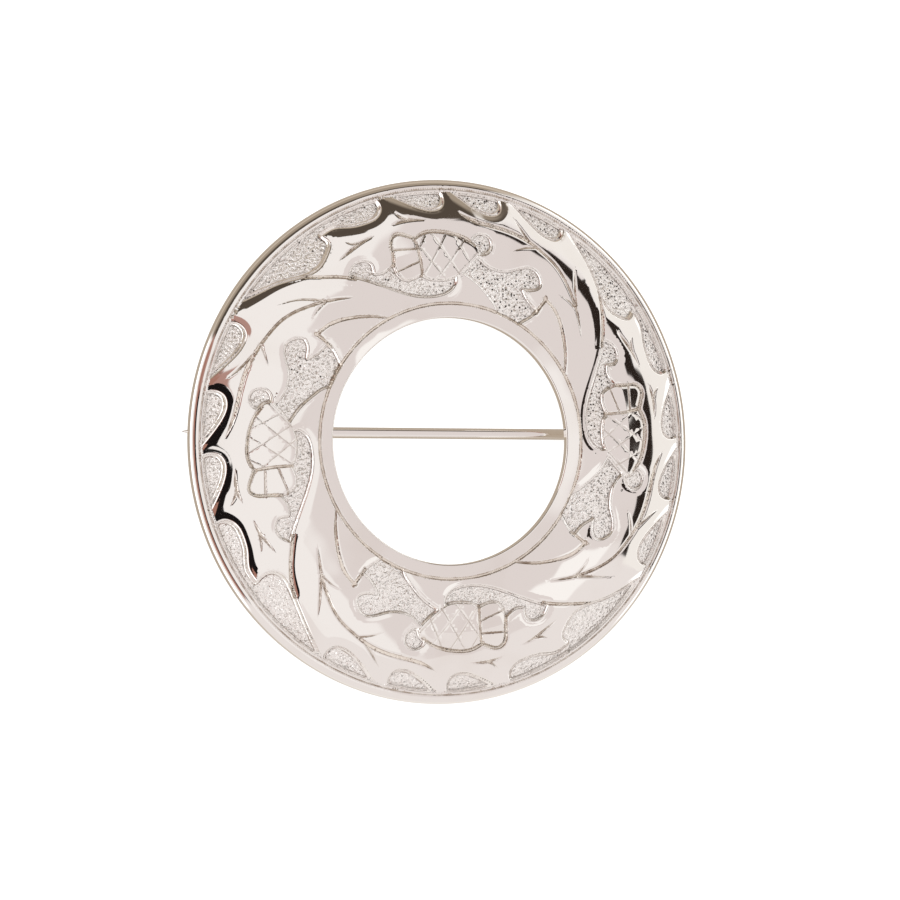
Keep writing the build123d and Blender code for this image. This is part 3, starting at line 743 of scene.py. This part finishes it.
def new_tree(name, **sizes):
    """A new tree with named inputs, its nodes' group input, and the silver that it ends with."""
    tree = bpy.data.node_groups.new(name, "GeometryNodeTree")
    for size, kind in dict(Geometry="Geometry", **sizes, Silver="Material").items():
        tree.interface.new_socket(size.replace("_", " "), in_out="INPUT", socket_type="NodeSocket" + kind)
    tree.interface.new_socket("Geometry", in_out="OUTPUT", socket_type="NodeSocketGeometry")
    return tree, add(tree, "NodeGroupInput", out=None).outputs


def end_tree(tree, shape, silver):
    """Ends a tree in Realize Instances and Set Material."""
    real = add(tree, "GeometryNodeRealizeInstances", Geometry=shape)
    silvered = add(tree, "GeometryNodeSetMaterial", Geometry=real, Material=silver)
    add(tree, "NodeGroupOutput", silvered, out=None)
    return tree


def punch_tree():
    """Punches the grounds: small round dents side by side, sunk by hand with a matting punch."""
    tree, given = new_tree("punched grounds", Dent_Width="Float", Dent_Depth="Float", Seed="Float")
    place = add(tree, "GeometryNodeInputPosition")
    scale = add(tree, "Math", 1.0, given["Dent Width"], operation="DIVIDE")
    cells = add(tree, "TexVoronoi", Vector=place, W=given["Seed"], Scale=scale, Randomness=0.85,
                voronoi_dimensions="4D", out="Distance")
    bowl = add(tree, "MapRange", cells, 0.1, 0.75, 1.0, 0.0, interpolation_type="SMOOTHSTEP")
    force = add(tree, "TexNoise", Vector=place, W=given["Seed"], Scale=1 / (1.1 * MM), Detail=1.0,
                noise_dimensions="4D", out="Fac")
    force = add(tree, "MapRange", force, 0.35, 0.65, 0.35, 1.0)
    ground = add(tree, "GeometryNodeInputNamedAttribute", Name="ground", data_type="FLOAT")
    mask = add(tree, "MapRange", ground, 0.5, 1.0, 0.0, 1.0)
    dent = add(tree, "Math", bowl, force, operation="MULTIPLY")
    dent = add(tree, "Math", dent, mask, operation="MULTIPLY")
    drop = add(tree, "Math", dent, given["Dent Depth"], operation="MULTIPLY")
    down = add(tree, "VectorMath", (0, 0, -1), Scale=drop, operation="SCALE")
    moved = add(tree, "GeometryNodeSetPosition", Geometry=given["Geometry"], Offset=down)
    return end_tree(tree, moved, given["Silver"])


def worked(piece, tree, name, **inputs):
    """The plain mesh that a tree makes of a piece, with the tree's modifier removed."""
    modifier = piece.modifiers.new(name, "NODES")
    modifier.node_group = tree
    for item in tree.interface.items_tree:
        wanted = item.name.replace(" ", "_")
        if item.item_type == "SOCKET" and item.in_out == "INPUT" and wanted in inputs:
            modifier[item.identifier] = inputs[wanted]
    graph = bpy.context.evaluated_depsgraph_get()
    finished = piece.evaluated_get(graph)
    mesh = bpy.data.meshes.new_from_object(finished, preserve_all_data_layers=True, depsgraph=graph)
    piece.modifiers.clear()
    mesh.name = piece.name
    return mesh


DENT_WIDTH, DENT_DEPTH = 0.5, 0.1
ring.data = worked(ring, punch_tree(), "punch", Dent_Width=DENT_WIDTH * MM, Dent_Depth=DENT_DEPTH * MM,
                   Seed=3.0, Silver=cast_silver)
for polygon in ring.data.polygons:
    polygon.use_smooth = True
dented = np.zeros(len(all_points) * 3, np.float32)
ring.data.vertex_normals.foreach_get("vector", dented)
dented = dented.reshape(-1, 3)
on_floor = (np.concatenate([ground, pad]) > 0.9)[:, None]
ring.data.normals_split_custom_set_from_vertices(np.where(on_floor, dented, all_normals).tolist())
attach(ring, "ring_body")
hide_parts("ring")

# The hinge's two ears and the catch. Small blocks of sterling silver, filed up by hand and soldered
# to the hollow back of the ring, so they stay with it.
PIN_OFFSET = 1.2            # how far the pin lies from the middle of the ring
PIN_HEIGHT = 1.5
HINGE_REACH = 30.0
KNUCKLE_RADIUS = 1.35
KNUCKLE_WIDTH = 1.6
SIDE_CLEARANCE = 0.1
EAR_THICKNESS = 1.0
EAR_RADIUS = 1.5
EAR_BORE = 0.42
CATCH_REACH = 33.5
CATCH_LENGTH = 2.2
CATCH_SEAT = 0.744
CATCH_WALL = 0.9
CATCH_ROUND = 0.5
SOLDERED_IN = 0.4           # how far the blocks run up into the wall of the ring
FILED = 0.12                # how wide the edges are that the file has taken off


def lofted(name, loops, closed=False, sharp=35):
    """A piece through loops of points, one after another, the last joined to the first or both filled."""
    count = len(loops[0])
    numbers = [i * count + np.arange(count) for i in range(len(loops))]
    faces = np.concatenate(bands(numbers + numbers[:1] if closed else numbers)).tolist()
    if not closed:
        faces += [numbers[0][::-1].tolist(), numbers[-1].tolist()]
    mesh = bpy.data.meshes.new(name)
    mesh.from_pydata((np.concatenate(loops) * MM).tolist(), [], faces)
    work = bmesh.new()
    work.from_mesh(mesh)
    bmesh.ops.recalc_face_normals(work, faces=work.faces)
    work.to_mesh(mesh)
    work.free()
    mesh.shade_smooth()
    mesh.set_sharp_from_angle(angle=math.radians(sharp))
    mesh.materials.append(cast_silver)
    return put(name, mesh)


def ear_loop(inset, level):
    """The outline of an ear about its bore: round at the foot, straight up to the ring."""
    top = float(dome(HINGE_REACH + EAR_RADIUS, WALL)) + SOLDERED_IN - PIN_HEIGHT
    half = EAR_RADIUS - inset
    corner = math.atan2(top, half)
    angles = np.concatenate([np.linspace(-math.pi, 0, 33), np.linspace(0, corner, 5)[1:],
                             np.linspace(corner, math.pi - corner, 9)[1:],
                             np.linspace(math.pi - corner, math.pi, 5)[1:-1]])
    x, z = np.cos(angles), np.sin(angles)
    reach = np.where(z <= 0, half, np.minimum(half / np.maximum(np.abs(x), 1e-6), top / np.maximum(z, 1e-6)))
    return np.stack([HINGE_REACH + reach * x, np.full(len(x), level), PIN_HEIGHT + reach * z], 1)


def bore_loop(radius, level):
    at = ear_loop(0, level)
    way = at - (HINGE_REACH, level, PIN_HEIGHT)
    return (HINGE_REACH, level, PIN_HEIGHT) + way / np.linalg.norm(way, axis=1)[:, None] * radius


for name, hand in (("hinge_ear_upper", 1), ("hinge_ear_lower", -1)):
    inner = PIN_OFFSET + hand * (KNUCKLE_WIDTH / 2 + SIDE_CLEARANCE)
    outer = inner + hand * EAR_THICKNESS
    edge = hand * FILED
    ear = lofted(name, [
        bore_loop(EAR_BORE, inner + edge / 2), bore_loop(EAR_BORE + FILED / 2, inner), ear_loop(FILED, inner),
        ear_loop(0, inner + edge), ear_loop(0, outer - edge), ear_loop(FILED, outer),
        bore_loop(EAR_BORE + FILED / 2, outer), bore_loop(EAR_BORE, outer - edge / 2)], closed=True)
    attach(ear, "ring_body")
    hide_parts("ring")


def arc(centre, radius, start, end, count):
    angle = np.radians(np.linspace(start, end, count))
    return np.stack([centre[0] + radius * np.cos(angle), centre[1] + radius * np.sin(angle)], 1)


def catch_loop(inset, level):
    """The outline of the catch across the pin, with the seat open to the foot."""
    half = CATCH_SEAT + CATCH_WALL - inset
    foot, seat = inset, CATCH_SEAT + inset
    round_off = CATCH_ROUND - inset
    top = float(dome(CATCH_REACH, WALL)) + SOLDERED_IN
    section = np.concatenate([
        [(half, top)], arc((half - round_off, foot + round_off), round_off, 0, -90, 7), [(seat, foot)],
        arc((0, PIN_HEIGHT), seat, 0, 180, 19), [(-seat, foot)],
        arc((round_off - half, foot + round_off), round_off, -90, -180, 7), [(-half, top)]])
    return np.stack([np.full(len(section), level), PIN_OFFSET + section[:, 0], section[:, 1]], 1)


low, high = -CATCH_REACH - CATCH_LENGTH / 2, -CATCH_REACH + CATCH_LENGTH / 2
catch = lofted("catch", [catch_loop(FILED, low), catch_loop(0, low + FILED),
                         catch_loop(0, high - FILED), catch_loop(FILED, high)])
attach(catch, "ring_body")
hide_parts("ring")

# The pin. A length of hard drawn silver wire, its point ground to a long taper and its other end
# turned into an eye, which the rivet holds between the ears.
PIN_ROW = [     # distance along the pin from the ring's axis, and the wire's radius there
    (-38.0, 0.04), (-37.97, 0.07), (-37.5, 0.172), (-36.9, 0.296), (-36.5, 0.38), (-36.2, 0.405),
    (-31.0, 0.594), (-26.3, 0.765), (-25.7, 0.775), (26.4, 0.775), (26.6, 0.776), (29.2, 0.787)]
WIRE_SIDES = 40
KNUCKLE_BORE = 0.45
EYE_SIDES = 48

# The same silver, drawn to wire and ground: smooth and bright, with less tarnish.
drawn_silver = sterling("drawn silver wire, ground and polished", 0.6)


def wire_tree():
    """Sweeps a round wire along a curve, as thick as the curve's radius says."""
    tree, given = new_tree("drawn wire", Sides="Int")
    section = add(tree, "GeometryNodeCurvePrimitiveCircle", Resolution=given["Sides"], Radius=1.0)
    girth = add(tree, "GeometryNodeInputRadius")
    wire = add(tree, "GeometryNodeCurveToMesh", Curve=given["Geometry"], Profile_Curve=section, Scale=girth,
               Fill_Caps=True)
    return end_tree(tree, wire, given["Silver"])


pin_line = bpy.data.curves.new("pin_stem", "CURVE")
pin_line.dimensions = "3D"
spline = pin_line.splines.new("POLY")
spline.points.add(len(PIN_ROW) - 1)
for point, (x, radius) in zip(spline.points, PIN_ROW):
    point.co = (x * MM, PIN_OFFSET * MM, PIN_HEIGHT * MM, 1)
    point.radius = radius * MM
stem = put("pin_stem_line", pin_line)
stem_mesh = worked(stem, wire_tree(), "wire", Sides=WIRE_SIDES, Silver=drawn_silver)
stem_mesh.name = "pin_stem"
stem_mesh.shade_smooth()
stem_mesh.set_sharp_from_angle(angle=math.radians(50))
bpy.data.objects.remove(stem)
stem = put("pin_stem", stem_mesh)


def eye_loop(radius, level):
    x, z = arc((HINGE_REACH, PIN_HEIGHT), radius, 0, 360 - 360 / EYE_SIDES, EYE_SIDES).T
    return np.stack([x, np.full(EYE_SIDES, level), z], 1)


EYE_EDGES = [(KNUCKLE_BORE, 0.05), (KNUCKLE_BORE + 0.05, 0), (KNUCKLE_RADIUS - 0.2, 0),
             (KNUCKLE_RADIUS - 0.06, 0.06), (KNUCKLE_RADIUS, 0.2)]      # radius, and depth below the face
near, far = PIN_OFFSET - KNUCKLE_WIDTH / 2, PIN_OFFSET + KNUCKLE_WIDTH / 2
eye_loops = [eye_loop(radius, near + depth) for radius, depth in EYE_EDGES]
eye_loops += [eye_loop(radius, far - depth) for radius, depth in EYE_EDGES[::-1]]
eye = lofted("pin_eye", eye_loops, closed=True, sharp=60)
eye.data.materials[0] = drawn_silver
for piece in (stem, eye):
    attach(piece, "pin_body")
    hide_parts("pin")

# The hinge's rivet. A short length of silver wire put through the ears and the eye, and hammered
# over at both ends into low round heads.
RIVET_RADIUS = 0.4
RIVET_HALF = 1.93
HEAD_RADIUS = 0.85
HEAD_HEIGHT = 0.35


def rivet_tree():
    """Makes a shank with a low round head at each end, each head drawn as a curve that swells."""
    tree, given = new_tree("hammered rivet", Shank_Radius="Float", Half_Length="Float", Head_Radius="Float",
                           Head_Height="Float", Place="Vector")
    section = add(tree, "GeometryNodeCurvePrimitiveCircle", Resolution=WIRE_SIDES, Radius=1.0)
    rise = add(tree, "CombineXYZ", Z=given["Head Height"])
    line = add(tree, "GeometryNodeCurvePrimitiveLine", Start=(0, 0, 0), End=rise)
    line = add(tree, "GeometryNodeResampleCurve", Curve=line, Count=14)
    share = add(tree, "GeometryNodeSplineParameter", out="Factor")
    square = add(tree, "Math", share, 2.0, operation="POWER")
    rest = add(tree, "Math", 1.0, square, operation="SUBTRACT")
    root = add(tree, "Math", rest, operation="SQRT")
    root = add(tree, "Math", root, 0.03, operation="MAXIMUM")
    girth = add(tree, "Math", root, given["Head Radius"], operation="MULTIPLY")
    head = add(tree, "GeometryNodeCurveToMesh", Curve=line, Profile_Curve=section, Scale=girth,
               Fill_Caps=True)
    top = add(tree, "CombineXYZ", Z=given["Half Length"])
    below = add(tree, "VectorMath", top, Scale=-1.0, operation="SCALE")
    ends = add(tree, "GeometryNodeCurvePrimitiveLine", Start=below, End=top)
    ends_points = add(tree, "GeometryNodeCurveToPoints", Curve=ends, Count=2, mode="COUNT")
    index = add(tree, "GeometryNodeInputIndex")
    flip = add(tree, "Math", index, -math.pi, math.pi, operation="MULTIPLY_ADD")
    turn = add(tree, "CombineXYZ", X=flip)
    heads = add(tree, "GeometryNodeInstanceOnPoints", Points=ends_points, Instance=head, Rotation=turn)
    shank = add(tree, "GeometryNodeCurveToMesh", Curve=ends, Profile_Curve=section,
                Scale=given["Shank Radius"], Fill_Caps=True)
    both = add(tree, "GeometryNodeJoinGeometry", out=None)
    tree.links.new(heads, both.inputs[0])
    tree.links.new(shank, both.inputs[0])
    placed = add(tree, "GeometryNodeTransform", Geometry=both.outputs[0], Rotation=(math.pi / 2, 0, 0),
                 Translation=given["Place"])
    return end_tree(tree, placed, given["Silver"])


rivet = put("hinge_rivet_silver", bpy.data.meshes.new("hinge_rivet_silver"))
rivet.data = worked(rivet, rivet_tree(), "rivet", Shank_Radius=RIVET_RADIUS * MM, Half_Length=RIVET_HALF * MM,
                    Head_Radius=HEAD_RADIUS * MM, Head_Height=HEAD_HEIGHT * MM,
                    Place=(HINGE_REACH * MM, PIN_OFFSET * MM, PIN_HEIGHT * MM), Silver=drawn_silver)
rivet.data.shade_smooth()
rivet.data.set_sharp_from_angle(angle=math.radians(50))
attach(rivet, "ring_body")
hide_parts("hinge_rivet")

# The studio. A white table under a soft light, with the ceiling, walls and stands round it painted
# on the sky, because a polished thing shows little but what stands round it.
TABLE_REACH = 1.6       # in metres
CARD_FROM, CARD_TO = -45, -20       # where the card that the metal mirrors turns from pale to tan
corners = [(-TABLE_REACH, -TABLE_REACH, 0), (TABLE_REACH, -TABLE_REACH, 0),
           (TABLE_REACH, TABLE_REACH, 0), (-TABLE_REACH, TABLE_REACH, 0)]
table_mesh = bpy.data.meshes.new("table")
table_mesh.from_pydata(corners, [], [(0, 1, 2, 3)])
table = put("table", table_mesh)

# Opal glass, lit from below: an even white, which mirrors nothing. In the metal a paper card shows
# in its place, pale to one side and tan to the other, and from below it is clear.
white = bpy.data.materials.new("opal glass of a light table")
white.use_nodes = True
glass = white.node_tree
glass.nodes.clear()
board = add(glass, "BsdfDiffuse", Color=(0.35, 0.35, 0.35, 1))
glow = add(glass, "Emission", Color=(1, 1, 1, 1), Strength=0.82)
board = add(glass, "AddShader", board, glow)
place = add(glass, "TexCoord", out="Object")
north = add(glass, "SeparateXYZ", place, out=1)
north = add(glass, "MapRange", north, CARD_FROM * MM, CARD_TO * MM, 0.0, 1.0)
card = add(glass, "Mix", north, _6=linear("#EFE9E3"), _7=linear("#B5A797"), data_type="RGBA", out=2)
card = add(glass, "Emission", Color=card, Strength=1.0)
mirrored = add(glass, "LightPath", out="Is Glossy Ray")
board = add(glass, "MixShader", mirrored, board, card)
clear = add(glass, "BsdfTransparent")
back = add(glass, "NewGeometry", out="Backfacing")
either = add(glass, "MixShader", back, board, clear)
add(glass, "OutputMaterial", either, out=None)
table.data.materials.append(white)

OVERHEAD = "#F2EDEA"
PATCHES = [     # colour, strength, azimuth from and to, elevation from and to, softness, all in degrees
    ("#DFD6D3", 1.0, -70, 75, 36, 79, 6),           # the ceiling's duller part, to the right
    ("#E9E2DF", 1.0, -140, -16, -5, 50, 1.2),       # a pale wall below
    ("#FAF6F3", 1.0, -32, -14, 46, 63, 1.2),
    ("#F2EDE8", 1.0, -20, 60, -5, 33, 2),           # a white wall to the right
    ("#2A221E", 1.0, -18, 14, 32, 39, 0.6),         # and the black rail over it, in three steps
    ("#2A221E", 1.0, 12, 32, 35, 42, 0.6),
    ("#2A221E", 1.0, 30, 62, 37, 43, 0.6),
    ("#51473E", 1.0, 58, 148, 20, 42, 0.6),         # a brown stand above, paler toward its foot
    ("#51473E", 1.0, 86, 128, 40, 46, 0.6),
    ("#A29484", 1.0, 56, 148, -5, 27, 10),
    ("#C9BBAA", 1.0, 56, 148, -5, 11, 8),
    ("#EFE6E0", 1.0, 148, 226, -5, 34, 3),          # a pale wall to the left,
    ("#B08A80", 1.0, 146, 163, 30, 60, 2),          # rose cloth over it,
    ("#A5786A", 1.0, 148, 230, 32, 43, 2),
    ("#181414", 1.0, 162, 190, 42, 58, 0.8),        # and a black card over that
    ("#181414", 1.0, 188, 234, 42, 52.5, 0.8),
    ("#FFFFFF", 1.5, -30, 50, -5, 9, 5),            # bright strips low on both sides
    ("#FFFFFF", 1.5, 150, 230, -5, 22, 5),
]
world = bpy.data.worlds.new("studio")
bpy.context.scene.world = world
world.use_nodes = True
sky = world.node_tree
sky.nodes.clear()
toward = add(sky, "TexCoord", out="Generated")
east, north, up = add(sky, "SeparateXYZ", toward, out=None).outputs
azimuth = add(sky, "Math", north, east, operation="ARCTAN2")
elevation = add(sky, "Math", up, operation="ARCSINE")


def between(angle, start, end, soft):
    """How far a direction lies inside a span of degrees, from 0 to 1."""
    middle, half, soft = math.radians((start + end) / 2), math.radians(end - start) / 2, math.radians(soft)
    away = add(sky, "Math", angle, middle, operation="SUBTRACT")
    away = add(sky, "Math", away, math.pi, -math.pi, operation="WRAP")
    away = add(sky, "Math", away, operation="ABSOLUTE")
    return add(sky, "MapRange", away, half - soft / 2, half + soft / 2, 1.0, 0.0,
               interpolation_type="SMOOTHSTEP")


seen = linear(OVERHEAD)
for colour, strength, west, east, low, high, soft in PATCHES:
    share = add(sky, "Math", between(azimuth, west, east, soft),
                between(elevation, low, high, soft), operation="MULTIPLY")
    shade = (*[strength * c for c in linear(colour)[:3]], 1.0)
    seen = add(sky, "Mix", share, _6=seen, _7=shade, data_type="RGBA", out=2)
# Matt surfaces get an even warm white light instead, and the camera sees plain white.
rays = add(sky, "LightPath", out=None).outputs
for ray, shade in (("Is Diffuse Ray", (1.35, 1.33, 1.3, 1)), ("Is Camera Ray", (1, 1, 1, 1))):
    seen = add(sky, "Mix", rays[ray], _6=seen, _7=shade, data_type="RGBA", out=2)
glow = add(sky, "Background", Color=seen, Strength=1.0)
add(sky, "OutputWorld", glow, out=None)

light = bpy.data.lights.new("softbox", "AREA")
light.shape = "DISK"
light.size = 1.6
light.energy = 20
softbox = put("softbox", light)
softbox.location = Vector((-0.7, 0.6, 1.25))        # in metres, up and to the left, turned to the brooch
softbox.rotation_euler = softbox.location.to_track_quat("Z", "Y").to_euler()
softbox.visible_glossy = False
softbox.visible_camera = False

bpy.context.scene.view_settings.view_transform = "Standard"

# The camera looks down on the brooch from a little to its left, as in the photograph.
CAMERA_DISTANCE = 600.0
LOOKED_AT = Vector((0, 0, 3.15))
TOWARD_CAMERA = Vector((-0.3198, -0.02236, 0.9472)).normalized()
lens = bpy.data.cameras.new("camera")
camera = put("camera", lens)
right = Vector((0, 1, 0)).cross(TOWARD_CAMERA).normalized()
camera_up = TOWARD_CAMERA.cross(right)
turned = Matrix((right, camera_up, TOWARD_CAMERA)).transposed().to_4x4()
turned.translation = (LOOKED_AT + TOWARD_CAMERA * CAMERA_DISTANCE) * MM
camera.matrix_world = turned
lens.sensor_width = 36
lens.lens = 167.8
lens.shift_x, lens.shift_y = 0.00889, -0.00933
lens.clip_start, lens.clip_end = 0.01, 20
bpy.context.scene.camera = camera
